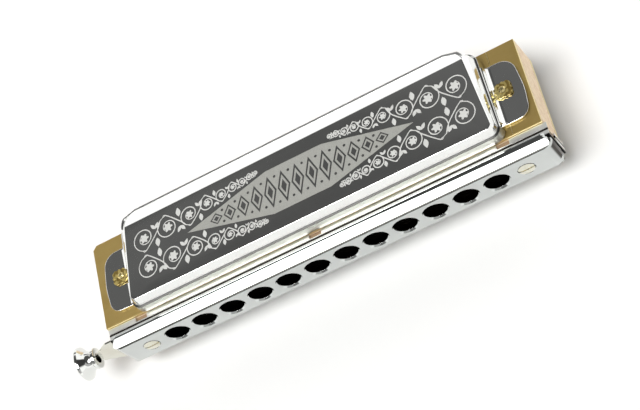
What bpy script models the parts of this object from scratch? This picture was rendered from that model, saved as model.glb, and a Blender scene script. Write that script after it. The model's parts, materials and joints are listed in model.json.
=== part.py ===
"""A twelve-hole slide chromatic harmonica, built as the separate pieces it comes apart into.

Blender 4.5, +Z up. Sizes below are in millimetres, and place() turns them into metres.
Design coordinates: x from the middle of the row of holes, with the slide button at -X;
y from the mouthpiece's front face, towards the open back; z from the comb's mid-plane.
The harmonica rests on its lower cover, and the world origin is a point on that flat face.
"""

import math

import bmesh
import bpy
from mathutils import Matrix, Vector

MM = 0.001
GAP = 0.3
MORE = 1.0  # how far a cutter runs past the face it opens

# Driving dimensions
HOLES = 12
PITCH = 9.2
HOLE_RADIUS = 3.45
COVER_TOP = 13.3
REST_Y = 19.75
TRAVEL = PITCH / 2

# Comb and reed plates
BODY_X = (-69.2, 68.5)
PLATE_Y = (7.1, 34.85)
COMB_Y = (5.45, 34.85)
COMB_HALF = 5.3
PLATE_BOTTOM = COMB_HALF + GAP
PLATE_TOP = PLATE_BOTTOM + 1.05
CELL_WIDTH = 3.4
CELL_FRONT = 9.0
CELL_FLOOR = 0.9
CELL_SPARE = 1.2  # how far a cell runs on past the tip of its reed slot
THROAT_HALF = 3.6
THROAT_ROOF = 4.6
CORNER_CUT = 1.3
PILOT_HOLE_END = 17.5
NAIL_HOLE_END = 1.4

# Reeds, numbered from the short ones by the button to the long ones at the far end
SHORT_REED = 9.5
LONG_REED = 17.0
SLOT_WIDTH = 2.5
REED_WIDTH = 2.0
REED_THICKNESS = 0.15
REED_PAD = (2.6, 0.55)
REED_ROOT = 14.4
SLOT_FRONT = 14.6
BLOW_SLOT_FRONT = 12.0
REED_OFFSET = 2.2

# Covers
COVER_X = 0.4
SHEET = 0.45
COVER_BOTTOM = PLATE_TOP + GAP
REAR_BEND_Y = 31.75
REAR_Y = 35.3
REAR_DROP = 0.5
HEM_RADIUS = 0.75
HEM_HALF_LENGTH = 54.2
EAR_Y = (10.3, 29.5)
EAR_X = (57.95, 67.1)
EAR_BULGE_Y = 19.0  # where the ear reaches furthest out
FILLET_RADIUS = 1.35
WALL_X = 58.3

# Mouthpiece, slide cage, slide and back plate, from the front
MOUTH_HALF_LENGTH = 69.1
MOUTH_BAR = 2.7
MOUTH_BACK = 3.8
MOUTH_END_RADIUS = 3.0
LIP_INSIDE = 6.25
CAGE_X = (-68.9, 69.3)
CAGE_Y = (2.95, 6.9)
CAGE_SHEET = 0.42
CAGE_HALF = 6.0
NOTCHES = (-57.9, -0.7, 56.6)
NOTCH_WIDTH = 3.8
NOTCH_Y = 5.5
FOLD_Y = (5.05, 5.35)
FOLD_DEPTH = 0.2
SLIDE_Y = (3.6, 4.15)
SLIDE_END = 63.0
SLIDE_HALF = 5.2
BACK_PLATE_Y = (4.4, 5.15)
BACK_PLATE_X = (-66.0, 68.2)
WINDOW_WIDTH = 3.8
WINDOW_Z = (0.7, 4.3)
SCREW_X = 59.3
SCREW_RADIUS = 1.05
SCREW_HOLE = 1.35
SCREW_LENGTH = 15.0
SCREW_HEAD = 2.35
TUBE_RADIUS = 1.5
BUMPER_X = (67.9, 68.6)

# Slide button
BUTTON_Y = 3.9
NECK_X = -77.2

# Nails
NAIL_RADIUS = 0.5
NAIL_HOLE = 0.8
COVER_NAIL = (61.2, 20.6)
PLATE_NAILS = ((56.0, 30.0), (56.0, 10.0))
ROSETTE = (61.6, 20.5)
ROSETTE_RADIUS = 2.3
ROSETTE_Z = (COVER_BOTTOM + SHEET + 0.2, COVER_BOTTOM + SHEET + 0.65)

HOLE_X = [PITCH * (i - (HOLES - 1) / 2) for i in range(HOLES)]
REEDS = 2 * HOLES
TO_WORLD = Matrix.Scale(MM, 4) @ Matrix.Translation((0, -REST_Y, COVER_TOP))


# ---------------------------------------------------------------- scene and materials

for old in list(bpy.data.objects):
    bpy.data.objects.remove(old, do_unlink=True)


def collection(name):
    made = bpy.data.collections.new(name)
    bpy.context.scene.collection.children.link(made)
    return made


HARMONICA = collection("harmonica")
CUTTERS = collection("cutters")


def material(name, colour, roughness, metallic):
    made = bpy.data.materials.new(name)
    made.use_nodes = True
    shader = made.node_tree.nodes["Principled BSDF"]
    shader.inputs["Base Color"].default_value = (*colour, 1)
    shader.inputs["Roughness"].default_value = roughness
    shader.inputs["Metallic"].default_value = metallic
    return made


FINISHES = {
    "pearwood": ((0.62, 0.42, 0.30), 0.6, 0.0),
    "plate_brass": ((0.55, 0.40, 0.16), 0.35, 1.0),
    "cover_steel": ((0.85, 0.85, 0.83), 0.18, 1.0),
    "mouthpiece_chrome": ((0.62, 0.63, 0.62), 0.1, 1.0),
    "cage_steel": ((0.70, 0.70, 0.68), 0.25, 1.0),
    "slide_brass": ((0.72, 0.66, 0.50), 0.3, 1.0),
    "back_plate_brass": ((0.60, 0.45, 0.20), 0.4, 1.0),
    "button_chrome": ((0.80, 0.80, 0.78), 0.08, 1.0),
    "spring_steel": ((0.35, 0.35, 0.36), 0.3, 1.0),
    "reed_brass": ((0.66, 0.50, 0.24), 0.3, 1.0),
    "rubber": ((0.03, 0.03, 0.03), 0.8, 0.0),
    "screw_nickel": ((0.66, 0.62, 0.52), 0.25, 1.0),
    "nail_brass": ((0.72, 0.56, 0.26), 0.3, 1.0),
    "rosette_brass": ((0.70, 0.54, 0.22), 0.3, 1.0),
}
MATERIALS = {name: material(name, *finish) for name, finish in FINISHES.items()}


# ---------------------------------------------------------------- shape helpers

def place(bm, name, finish=None, origin=None):
    """Turns a mesh in design coordinates into an object: a piece if it has a finish, or else a cutter."""
    mesh = bpy.data.meshes.new(name)
    bm.to_mesh(mesh)
    bm.free()
    mesh.transform(TO_WORLD)
    obj = bpy.data.objects.new(name, mesh)
    if origin is not None:
        obj.location = TO_WORLD @ Vector(origin)
        mesh.transform(Matrix.Translation(-obj.location))
    if finish:
        mesh.materials.append(MATERIALS[finish])
        HARMONICA.objects.link(obj)
    else:
        obj.hide_render = True
        obj.display_type = "WIRE"
        CUTTERS.objects.link(obj)
    return obj


def add_box(bm, x, y, z, turn=Matrix.Identity(4)):
    """Adds the box between three pairs of limits to a mesh."""
    middle = Vector((sum(x) / 2, sum(y) / 2, sum(z) / 2))
    size = (x[1] - x[0], y[1] - y[0], z[1] - z[0], 1)
    bmesh.ops.create_cube(bm, size=1, matrix=Matrix.Translation(middle) @ turn @ Matrix.Diagonal(size))


def boxes(name, limits, finish=None):
    bm = bmesh.new()
    for x, y, z in limits:
        add_box(bm, x, y, z)
    return place(bm, name, finish)


TURNS = {
    "X": Matrix.Rotation(math.pi / 2, 4, "Y"),
    "-X": Matrix.Rotation(-math.pi / 2, 4, "Y"),
    "Y": Matrix.Rotation(-math.pi / 2, 4, "X"),
    "-Y": Matrix.Rotation(math.pi / 2, 4, "X"),
    "Z": Matrix.Identity(4),
}


def rods(name, axis, centres, along, radii, sides=16, finish=None):
    """Cylinders or cones on one axis. A centre is given by the two coordinates across that axis."""
    bm = bmesh.new()
    middle = sum(along) / 2
    for centre in centres:
        where = {
            "X": (middle, *centre),
            "Y": (centre[0], middle, centre[1]),
            "Z": (*centre, middle),
        }[axis]
        bmesh.ops.create_cone(
            bm,
            cap_ends=True,
            segments=sides,
            radius1=radii[0],
            radius2=radii[1],
            depth=along[1] - along[0],
            matrix=Matrix.Translation(where) @ TURNS[axis],
        )
    return place(bm, name, finish)


def prism(name, outline, axis, along, finish=None, origin=None):
    """A flat outline, extruded along an axis. The outline's pairs are the other two coordinates in order."""
    where = {
        "X": lambda a, b: (along[0], a, b),
        "Y": lambda a, b: (a, along[0], b),
        "Z": lambda a, b: (a, b, along[0]),
    }[axis]
    bm = bmesh.new()
    face = bm.faces.new([bm.verts.new(where(a, b)) for a, b in outline])
    pushed = bmesh.ops.extrude_face_region(bm, geom=[face])["geom"]
    step = {"X": (1, 0, 0), "Y": (0, 1, 0), "Z": (0, 0, 1)}[axis]
    verts = [v for v in pushed if isinstance(v, bmesh.types.BMVert)]
    bmesh.ops.translate(bm, verts=verts, vec=Vector(step) * (along[1] - along[0]))
    bmesh.ops.recalc_face_normals(bm, faces=bm.faces)
    return place(bm, name, finish, origin)


def rounded(corners, steps=4):
    """An outline whose corners (a, b, radius) are rounded by arcs of the given number of steps."""
    outline = []
    count = len(corners)
    for i, (a, b, radius) in enumerate(corners):
        corner = Vector((a, b))
        if not radius:
            outline.append(tuple(corner))
            continue
        before = (Vector(corners[i - 1][:2]) - corner).normalized()
        after = (Vector(corners[(i + 1) % count][:2]) - corner).normalized()
        half = before.angle(after) / 2
        centre = corner + (before + after).normalized() * radius / math.sin(half)
        first = corner + before * radius / math.tan(half) - centre
        turn = first.angle_signed(corner + after * radius / math.tan(half) - centre)
        for step in range(steps + 1):
            angle = -turn * step / steps
            outline.append(tuple(centre + Matrix.Rotation(angle, 2) @ first))
    return outline


def turned(name, profile, axis, centre, finish, steps=20):
    """A profile of (radius, distance along the axis) pairs, from its far end back, spun with a Screw."""
    bm = bmesh.new()
    verts = [bm.verts.new((radius, 0, along)) for radius, along in profile]
    for a, b in zip(verts, verts[1:]):
        bm.edges.new((a, b))
    mesh = bpy.data.meshes.new(name)
    bm.to_mesh(mesh)
    bm.free()
    mesh.transform(Matrix.Scale(MM, 4))
    mesh.materials.append(MATERIALS[finish])
    obj = bpy.data.objects.new(name, mesh)
    HARMONICA.objects.link(obj)
    screw = obj.modifiers.new("Spin", "SCREW")
    screw.axis = "Z"
    screw.steps = steps
    screw.render_steps = steps
    screw.use_merge_vertices = True
    screw.merge_threshold = 0.00001
    obj.matrix_world = Matrix.Translation(TO_WORLD @ Vector(centre)) @ TURNS[axis]
    return obj


def combine(target, other, operation="DIFFERENCE"):
    """Cuts the other object from the target, or adds or intersects it."""
    modifier = target.modifiers.new(other.name, "BOOLEAN")
    modifier.operation = operation
    modifier.solver = "EXACT"
    modifier.object = other


def mirrored_below(obj, name):
    """The same piece on the other side of the comb's mid-plane."""
    bpy.context.view_layer.update()
    evaluated = obj.evaluated_get(bpy.context.evaluated_depsgraph_get())
    mesh = bpy.data.meshes.new_from_object(evaluated)
    mesh.name = name
    flip = TO_WORLD @ Matrix.Scale(-1, 4, (0, 0, 1)) @ TO_WORLD.inverted()
    mesh.transform(obj.matrix_world)
    mesh.transform(flip)
    mesh.flip_normals()
    twin = bpy.data.objects.new(name, mesh)
    twin.location = flip @ obj.location
    mesh.transform(Matrix.Translation(-twin.location))
    HARMONICA.objects.link(twin)
    return twin


def both_ends(x, y, middle=0):
    return [(middle - x, y), (middle + x, y)]


# ---------------------------------------------------------------- comb and reed plates

def reed_length(number):
    return SHORT_REED + (LONG_REED - SHORT_REED) * number / (REEDS - 1)


def reed_x(number):
    """Even reeds sound on the blow and odd ones on the draw, side by side behind each hole."""
    return HOLE_X[number // 2] + (REED_OFFSET if number % 2 else -REED_OFFSET)


def slot_y(number):
    front = SLOT_FRONT if number % 2 else BLOW_SLOT_FRONT
    return front, front + reed_length(number)


def nail_places():
    places = both_ends(*COVER_NAIL, COVER_X)
    for x, y in PLATE_NAILS:
        places += both_ends(x, y)
    return places


def make_comb():
    comb = boxes("comb", [(BODY_X, COMB_Y, (-COMB_HALF, COMB_HALF))], "pearwood")
    cells = []
    throats = []
    for side in (1, -1):
        for number in range(REEDS):
            x = reed_x(number)
            z = sorted((side * CELL_FLOOR, side * (COMB_HALF + MORE)))
            y = (CELL_FRONT, slot_y(number)[1] + CELL_SPARE)
            cells.append(((x - CELL_WIDTH / 2, x + CELL_WIDTH / 2), y, z))
        for x in HOLE_X:
            z = sorted((side * CELL_FLOOR, side * THROAT_ROOF))
            y = (COMB_Y[0] - MORE, CELL_FRONT + MORE)
            throats.append(((x - THROAT_HALF, x + THROAT_HALF), y, z))
    combine(comb, boxes("comb_cells", cells))
    combine(comb, boxes("comb_throats", throats))
    along = (COMB_Y[0] - MORE, PILOT_HOLE_END)
    screws = rods("comb_screw_holes", "Y", both_ends(SCREW_X, 0), along, (SCREW_HOLE,) * 2, 12)
    combine(comb, screws)
    for side in (1, -1):
        along = sorted((side * NAIL_HOLE_END, side * (COMB_HALF + MORE)))
        combine(comb, rods(f"comb_nail_holes_{side}", "Z", nail_places(), along, (NAIL_HOLE,) * 2, 8))


def make_reed_plate():
    plate = boxes("upper_reed_plate", [(BODY_X, PLATE_Y, (PLATE_BOTTOM, PLATE_TOP))], "plate_brass")
    through = (PLATE_BOTTOM - MORE, PLATE_TOP + MORE)
    slots = []
    for number in range(REEDS):
        x = reed_x(number)
        slots.append(((x - SLOT_WIDTH / 2, x + SLOT_WIDTH / 2), slot_y(number), through))
    combine(plate, boxes("reed_slots", slots))
    combine(plate, rods("plate_nail_holes", "Z", nail_places(), through, (NAIL_HOLE,) * 2, 12))
    bm = bmesh.new()
    turn = Matrix.Rotation(math.radians(45), 4, "Z")
    size = CORNER_CUT * math.sqrt(2)
    x = (BODY_X[0] - size / 2, BODY_X[0] + size / 2)
    y = (PLATE_Y[1] - size / 2, PLATE_Y[1] + size / 2)
    add_box(bm, x, y, through, turn)
    combine(plate, place(bm, "plate_corner"))
    mirrored_below(plate, "lower_reed_plate")


def make_reeds():
    """The draw reeds, which lie outside the plates. Each one's origin is on the line it flexes about."""
    pad_length, pad_height = REED_PAD
    bottom = PLATE_TOP + GAP
    for number in range(1, REEDS, 2):
        tip = slot_y(number)[1] - GAP
        outline = [
            (REED_ROOT - pad_length, bottom),
            (tip, bottom),
            (tip, bottom + REED_THICKNESS),
            (REED_ROOT, bottom + REED_THICKNESS),
            (REED_ROOT, bottom + pad_height),
            (REED_ROOT - pad_length, bottom + pad_height),
        ]
        x = reed_x(number)
        sides = (x - REED_WIDTH / 2, x + REED_WIDTH / 2)
        hole = f"{number // 2 + 1:02d}"
        reed = prism(f"upper_reed_{hole}", outline, "X", sides, "reed_brass", (x, REED_ROOT, bottom))
        mirrored_below(reed, f"lower_reed_{hole}")


# ---------------------------------------------------------------- covers

def cover_ring(front_x, rear_x, front_y, radius, z, rear_z):
    """A line round three sides of a cover, from the right end's rear corner to the left end's."""
    corner_y = front_y + radius

    def end_x(y):
        return front_x + (rear_x - front_x) * (y - corner_y) / (REAR_Y - corner_y)

    right = [(end_x(REAR_Y), REAR_Y, rear_z), (end_x(REAR_BEND_Y), REAR_BEND_Y, z)]
    steps = 5
    for step in range(steps + 1):
        angle = math.pi / 2 * step / steps
        x = front_x - radius + radius * math.cos(angle)
        y = corner_y - radius * math.sin(angle)
        right.append((x, y, z))
    left = [(-x, y, z) for x, y, z in reversed(right)]
    return [(x + COVER_X, y, z) for x, y, z in right + left]


def make_cover():
    """The stamped shell: a skirt, a narrow ledge, a sloping band and the flat top, left open at the rear."""
    rings = [
        cover_ring(WALL_X, 58.1, 6.6, 3.0, COVER_BOTTOM, COVER_BOTTOM),
        cover_ring(58.0, 57.7, 6.85, 3.0, 10.0, 10.0),
        cover_ring(57.5, 57.0, 7.65, 2.5, 10.2, 10.2),
        cover_ring(56.65, HEM_HALF_LENGTH + 0.1, 8.4, 1.8, COVER_TOP, COVER_TOP - REAR_DROP),
    ]
    bm = bmesh.new()
    loops = [[bm.verts.new(point) for point in ring] for ring in rings]
    for low, high in zip(loops, loops[1:]):
        for i in range(len(low) - 1):
            bm.faces.new((low[i], high[i], high[i + 1], low[i + 1]))
    top = loops[-1]
    bm.faces.new(list(reversed(top[1:-1])))
    bm.faces.new((top[0], top[-1], top[-2], top[1]))
    bmesh.ops.recalc_face_normals(bm, faces=bm.faces)
    if max(bm.faces, key=lambda face: face.calc_area()).normal.z < 0:
        bmesh.ops.reverse_faces(bm, faces=bm.faces)
    cover = place(bm, "upper_cover", "cover_steel")
    bend = cover.modifiers.new("Bends", "BEVEL")
    bend.width = 0.35 * MM
    bend.segments = 2
    bend.limit_method = "ANGLE"
    bend.angle_limit = math.radians(20)
    shell = cover.modifiers.new("Sheet", "SOLIDIFY")
    shell.thickness = SHEET * MM
    shell.offset = -1
    shell.use_even_offset = True
    for side in (1, -1):
        add_ear(cover, side)
    hem_z = COVER_TOP - REAR_DROP - HEM_RADIUS
    hem_x = (COVER_X - HEM_HALF_LENGTH, COVER_X + HEM_HALF_LENGTH)
    hem = rods("cover_hem", "X", [(REAR_Y + 0.3, hem_z)], hem_x, (HEM_RADIUS,) * 2, 12)
    combine(cover, hem, "UNION")
    nails = both_ends(*COVER_NAIL, COVER_X)
    combine(cover, rods("ear_nail_holes", "Z", nails, (COVER_BOTTOM - MORE, 9.0), (NAIL_HOLE,) * 2, 12))
    mirrored_below(cover, "lower_cover")


def add_ear(cover, side):
    """The flat ear that the cover is nailed down by, and the fillet that the sheet rises from it in."""
    inner, outer = EAR_X
    front, rear = EAR_Y
    corners = [
        (inner, front, 0),
        (outer - 0.9, front, 3.6),
        (outer, EAR_BULGE_Y, 25),
        (outer - 1.1, rear, 4.4),
        (inner, rear, 0),
    ]
    outline = [(COVER_X + side * x, y) for x, y in rounded(corners, 6)]
    ear = prism(f"ear_{side}", outline, "Z", (COVER_BOTTOM, COVER_BOTTOM + SHEET))
    combine(cover, ear, "UNION")
    low = COVER_BOTTOM + SHEET
    inside = WALL_X - SHEET / 2
    foot = WALL_X + FILLET_RADIUS
    fillet = [(inside, low - SHEET / 2), (foot, low - SHEET / 2)]
    steps = 5
    for step in range(steps + 1):
        angle = math.pi / 2 * step / steps
        x = foot - FILLET_RADIUS * math.sin(angle)
        fillet.append((x, low + FILLET_RADIUS * (1 - math.cos(angle))))
    fillet.append((inside, low + FILLET_RADIUS))
    outline = [(COVER_X + side * x, z) for x, z in fillet]
    combine(cover, prism(f"ear_fillet_{side}", outline, "Y", (front + GAP, rear - GAP)), "UNION")


def rosette_outline(x, y):
    """A square with wavy sides, turned a little on its corner as a small stamped washer would lie."""
    outline = []
    points = 48
    for i in range(points):
        angle = 2 * math.pi * i / points
        square = 1 / max(abs(math.cos(angle)), abs(math.sin(angle))) ** 0.7
        radius = ROSETTE_RADIUS * square * (1 + 0.06 * math.cos(12 * angle))
        outline.append((x + radius * math.cos(angle), y + radius * math.sin(angle)))
    return outline


def make_rosettes():
    for side, end in ((-1, "left"), (1, "right")):
        outline = rosette_outline(COVER_X + side * ROSETTE[0], ROSETTE[1])
        rosette = prism(f"upper_{end}_rosette", outline, "Z", ROSETTE_Z, "rosette_brass")
        along = (ROSETTE_Z[0] - MORE, ROSETTE_Z[1] + MORE)
        centre = (COVER_X + side * COVER_NAIL[0], COVER_NAIL[1])
        combine(rosette, rods(f"rosette_hole_{end}", "Z", [centre], along, (NAIL_HOLE,) * 2, 12))
        mirrored_below(rosette, f"lower_{end}_rosette")


# ---------------------------------------------------------------- mouthpiece and slide

def rounded_rectangle(x, y, radius, steps=6):
    corners = [(x[0], y[0], radius), (x[1], y[0], radius), (x[1], y[1], radius), (x[0], y[1], radius)]
    return rounded(corners, steps)


def make_mouthpiece():
    """A bar with a sloping top and bottom, hollowed at the back to sit over the slide cage."""
    half = [
        (0, 5.2, 0.5),
        (3.15, 6.95, 0.5),
        (MOUTH_BACK, 6.85, 0.2),
        (MOUTH_BACK, LIP_INSIDE, 0),
        (MOUTH_BAR, LIP_INSIDE, 0),
    ]
    corners = half + [(y, -z, radius) for y, z, radius in reversed(half)]
    length = (-MOUTH_HALF_LENGTH, MOUTH_HALF_LENGTH)
    mouth = prism("mouthpiece", rounded(corners, 3), "X", length, "mouthpiece_chrome")
    front = rounded_rectangle(length, (-6.95, 6.95), 3.0)
    combine(mouth, prism("mouthpiece_corners", front, "Y", (-MORE, 6)), "INTERSECT")
    turn = MOUTH_END_RADIUS
    plan = rounded([(length[0], 0, turn), (length[1], 0, turn), (length[1], 6, 0), (length[0], 6, 0)], 6)
    combine(mouth, prism("mouthpiece_ends", plan, "Z", (-8, 8)), "INTERSECT")
    through = (-MORE, MOUTH_BAR + MORE)
    holes = [(x, 0) for x in HOLE_X]
    combine(mouth, rods("mouth_holes", "Y", holes, through, (HOLE_RADIUS,) * 2, 28))
    sink = 0.45
    rims = (HOLE_RADIUS + sink + 0.2, HOLE_RADIUS - 0.2)
    combine(mouth, rods("mouth_hole_rims", "Y", holes, (-0.2, sink + 0.2), rims, 28))
    screws = both_ends(SCREW_X, 0)
    combine(mouth, rods("mouth_screw_holes", "Y", screws, through, (SCREW_HOLE,) * 2, 16))
    flare = (SCREW_HEAD + 0.6, SCREW_HOLE - 0.2)
    combine(mouth, rods("mouth_countersinks", "Y", screws, (-0.3, 1.5), flare, 16))


def make_cage():
    """The channel that the slide runs in: grooved and notched along its lips, closed at the spring's end."""
    cage = boxes("slide_cage", [(CAGE_X, CAGE_Y, (-CAGE_HALF, CAGE_HALF))], "cage_steel")
    inside_y = (CAGE_Y[0] + CAGE_SHEET, CAGE_Y[1] + MORE)
    inside_z = CAGE_HALF - CAGE_SHEET
    inside_x = (CAGE_X[0] - MORE, CAGE_X[1] - CAGE_SHEET)
    combine(cage, boxes("cage_inside", [(inside_x, inside_y, (-inside_z, inside_z))]))
    end_x = (CAGE_X[1] - 2 * CAGE_SHEET, CAGE_X[1] + MORE)
    combine(cage, boxes("cage_end_opening", [(end_x, inside_y, (0.6, inside_z))]))
    combine(cage, boxes("cage_end_back", [(end_x, (6.1, inside_y[1]), (-inside_z, 0.7))]))
    notches = []
    for x in NOTCHES:
        span = (x - NOTCH_WIDTH / 2, x + NOTCH_WIDTH / 2)
        notches.append((span, (NOTCH_Y, CAGE_Y[1] + MORE), (-CAGE_HALF - MORE, CAGE_HALF + MORE)))
    combine(cage, boxes("cage_notches", notches))
    past_ends = (CAGE_X[0] - MORE, CAGE_X[1] + MORE)
    folds = [(CAGE_HALF - FOLD_DEPTH, CAGE_HALF + MORE), (-CAGE_HALF - MORE, FOLD_DEPTH - CAGE_HALF)]
    combine(cage, boxes("cage_folds", [(past_ends, FOLD_Y, z) for z in folds]))
    through = (CAGE_Y[0] - MORE, CAGE_Y[0] + CAGE_SHEET + MORE)
    holes = [(x, 0) for x in HOLE_X]
    combine(cage, rods("cage_holes", "Y", holes, through, (HOLE_RADIUS - 0.15,) * 2, 20))
    combine(cage, rods("cage_screw_holes", "Y", both_ends(SCREW_X, 0), through, (SCREW_HOLE,) * 2, 12))


def window_row(shift, side, y):
    """The limits of one row of windows, upper or lower, moved along from the holes."""
    z = sorted((side * WINDOW_Z[0], side * WINDOW_Z[1]))
    reach = WINDOW_WIDTH / 2
    return [((x + shift - reach, x + shift + reach), y, z) for x in HOLE_X]


def make_slide():
    """The valve plate. At rest its upper windows face the holes, and pushed in its lower ones do."""
    neck = NECK_X + 0.7
    half = [
        (SLIDE_END, SLIDE_HALF, 0.6),
        (-71.6, SLIDE_HALF, 1.2),
        (-74.6, 3.1, 2.5),
        (neck, 2.5, 0.3),
        (neck, 1.15, 0),
        (NECK_X - 3.2, 1.15, 0),
    ]
    corners = half + [(x, -z, radius) for x, z, radius in reversed(half)]
    slide = prism("slide", rounded(corners, 4), "Y", SLIDE_Y, "slide_brass")
    through = (SLIDE_Y[0] - MORE, SLIDE_Y[1] + MORE)
    combine(slide, boxes("slide_windows", window_row(0, 1, through) + window_row(-TRAVEL, -1, through)))
    room = SCREW_RADIUS + 0.35
    right = (SCREW_X - TRAVEL - room, SCREW_X + room)
    height = TUBE_RADIUS + 0.2
    left = (-SCREW_X - TRAVEL - height, -SCREW_X + height)
    slots = [(right, through, (-height, height)), (left, through, (-height, height))]
    combine(slide, boxes("slide_slots", slots))


def make_back_plate():
    limits = [(BACK_PLATE_X, BACK_PLATE_Y, (-SLIDE_HALF, SLIDE_HALF))]
    plate = boxes("back_plate", limits, "back_plate_brass")
    through = (BACK_PLATE_Y[0] - MORE, BACK_PLATE_Y[1] + MORE)
    combine(plate, boxes("back_windows", window_row(0, 1, through) + window_row(0, -1, through)))
    combine(plate, rods("back_screw_holes", "Y", both_ends(SCREW_X, 0), through, (SCREW_HOLE,) * 2, 12))


def make_button():
    """A trumpet-shaped push button, with a bore in its neck that the slide's stem is fixed in."""
    corners = [
        (0, 6.3, 0),
        (4.0, 6.0, 1.4),
        (5.2, 5.15, 0.35),
        (5.0, 4.35, 0.3),
        (2.9, 2.6, 2.2),
        (2.75, 1.3, 0.4),
        (3.15, 0.9, 0.15),
        (3.15, 0, 0.2),
        (1.6, 0, 0),
        (1.6, 3.8, 0),
        (0, 3.8, 0),
    ]
    profile = rounded(corners, 4)
    turned("slide_button", profile, "-X", (NECK_X, BUTTON_Y, 0), "button_chrome", 32)


def make_spring():
    """The hairpin return spring, one leg against the cage's end and one against the slide."""
    wire = bpy.data.curves.new("slide_spring", "CURVE")
    wire.dimensions = "3D"
    wire.bevel_depth = 0.25 * MM
    wire.bevel_resolution = 2
    wire.use_fill_caps = True
    bend_x, bend_z, bend_radius = 67.5, 3.9, 0.8
    route = [(68.4, -1.2), (68.4, 1.6)]
    steps = 8
    for step in range(steps + 1):
        angle = math.pi * step / steps
        route.append((bend_x + bend_radius * math.cos(angle), bend_z + bend_radius * math.sin(angle)))
    route += [(65.1, 0.2), (64.1, -3.0), (63.7, -4.1), (63.8, -4.7)]
    middle_y = sum(SLIDE_Y) / 2
    line = wire.splines.new("POLY")
    line.points.add(len(route) - 1)
    for point, (x, z) in zip(line.points, route):
        point.co = (*(TO_WORLD @ Vector((x, middle_y, z))), 1)
    wire.materials.append(MATERIALS["spring_steel"])
    HARMONICA.objects.link(bpy.data.objects.new("slide_spring", wire))


def make_bumpers():
    """The rubber that stops the slide: a block on the cage's end, and a tube on the left screw."""
    boxes("end_bumper", [(BUMPER_X, SLIDE_Y, (-SLIDE_HALF, -2.0))], "rubber")
    tube = rods("screw_bumper", "Y", [(-SCREW_X, 0)], SLIDE_Y, (TUBE_RADIUS,) * 2, 20, "rubber")
    through = (SLIDE_Y[0] - MORE, SLIDE_Y[1] + MORE)
    combine(tube, rods("tube_bore", "Y", [(-SCREW_X, 0)], through, (SCREW_RADIUS + 0.15,) * 2, 20))


# ---------------------------------------------------------------- fasteners

def make_screws():
    """Slotted countersunk screws, from the mouthpiece through the slide's slots and into the comb."""
    for side, end in ((-1, "left"), (1, "right")):
        profile = [
            (0, 0.25),
            (1.5, 0.18),
            (SCREW_HEAD, 0),
            (SCREW_RADIUS, -SCREW_HEAD + SCREW_RADIUS),
            (SCREW_RADIUS, 1.5 - SCREW_LENGTH),
            (0, -SCREW_LENGTH),
        ]
        screw = turned(f"{end}_mouthpiece_screw", profile, "-Y", (side * SCREW_X, 0, 0), "screw_nickel")
        reach = SCREW_HEAD + MORE
        x = (side * SCREW_X - reach, side * SCREW_X + reach)
        combine(screw, boxes(f"{end}_screw_slot", [(x, (-MORE, 0.35), (-0.27, 0.27))]))


def nail(name, x, y, head_radius, head_z, finish):
    profile = [
        (0, head_z + 0.55),
        (head_radius * 0.6, head_z + 0.45),
        (head_radius, head_z),
        (NAIL_RADIUS, head_z),
        (NAIL_RADIUS, 3.0),
        (0, 2.2),
    ]
    upper = turned(f"upper_{name}", profile, "Z", (x, y, 0), finish, 12)
    mirrored_below(upper, f"lower_{name}")


def make_nails():
    for side, end in ((-1, "left"), (1, "right")):
        x = COVER_X + side * COVER_NAIL[0]
        nail(f"{end}_cover_nail", x, COVER_NAIL[1], 1.05, ROSETTE_Z[1] + 0.15, "nail_brass")
        for (x, y), row in zip(PLATE_NAILS, ("rear", "front")):
            nail(f"{end}_{row}_plate_nail", side * x, y, 1.0, PLATE_TOP + 0.15, "nail_brass")


make_comb()
make_reed_plate()
make_reeds()
make_cover()
make_rosettes()
make_mouthpiece()
make_cage()
make_slide()
make_back_plate()
make_button()
make_spring()
make_bumpers()
make_screws()
make_nails()
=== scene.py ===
"""The looks of a twelve-hole slide chromatic harmonica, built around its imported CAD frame.

Sizes are written in millimetres in design coordinates, as the CAD source has them: x from the middle
of the row of holes, y from the mouthpiece's front face towards the open back, z from the comb's
mid-plane. DESIGN turns them into the frame's metres.
"""

import json
import math

import bmesh
import bpy
from mathutils import Matrix, Vector, geometry


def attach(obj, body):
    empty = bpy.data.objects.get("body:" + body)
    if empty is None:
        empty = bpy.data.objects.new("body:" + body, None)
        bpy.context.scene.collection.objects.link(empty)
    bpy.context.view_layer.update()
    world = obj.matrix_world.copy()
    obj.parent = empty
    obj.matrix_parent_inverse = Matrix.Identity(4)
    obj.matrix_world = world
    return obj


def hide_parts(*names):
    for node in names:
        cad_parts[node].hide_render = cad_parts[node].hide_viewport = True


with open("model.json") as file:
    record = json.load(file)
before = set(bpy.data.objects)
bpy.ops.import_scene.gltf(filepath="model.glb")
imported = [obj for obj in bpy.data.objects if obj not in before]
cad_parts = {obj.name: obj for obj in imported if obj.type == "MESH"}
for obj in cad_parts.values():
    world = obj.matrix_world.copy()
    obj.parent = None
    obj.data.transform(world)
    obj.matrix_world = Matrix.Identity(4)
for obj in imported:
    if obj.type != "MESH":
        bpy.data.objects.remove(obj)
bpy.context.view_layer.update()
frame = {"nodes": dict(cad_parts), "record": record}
NODES = frame["nodes"]
SLOTS = {row["node"]: row["material_slot"] for row in frame["record"]["subparts"]}

MM = 0.001
REST_Y = 19.75
COVER_TOP = 13.3
DESIGN = Matrix.Scale(MM, 4) @ Matrix.Translation((0, -REST_Y, COVER_TOP))
BELOW = Matrix.Scale(-1, 4, (0, 0, 1))

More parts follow.
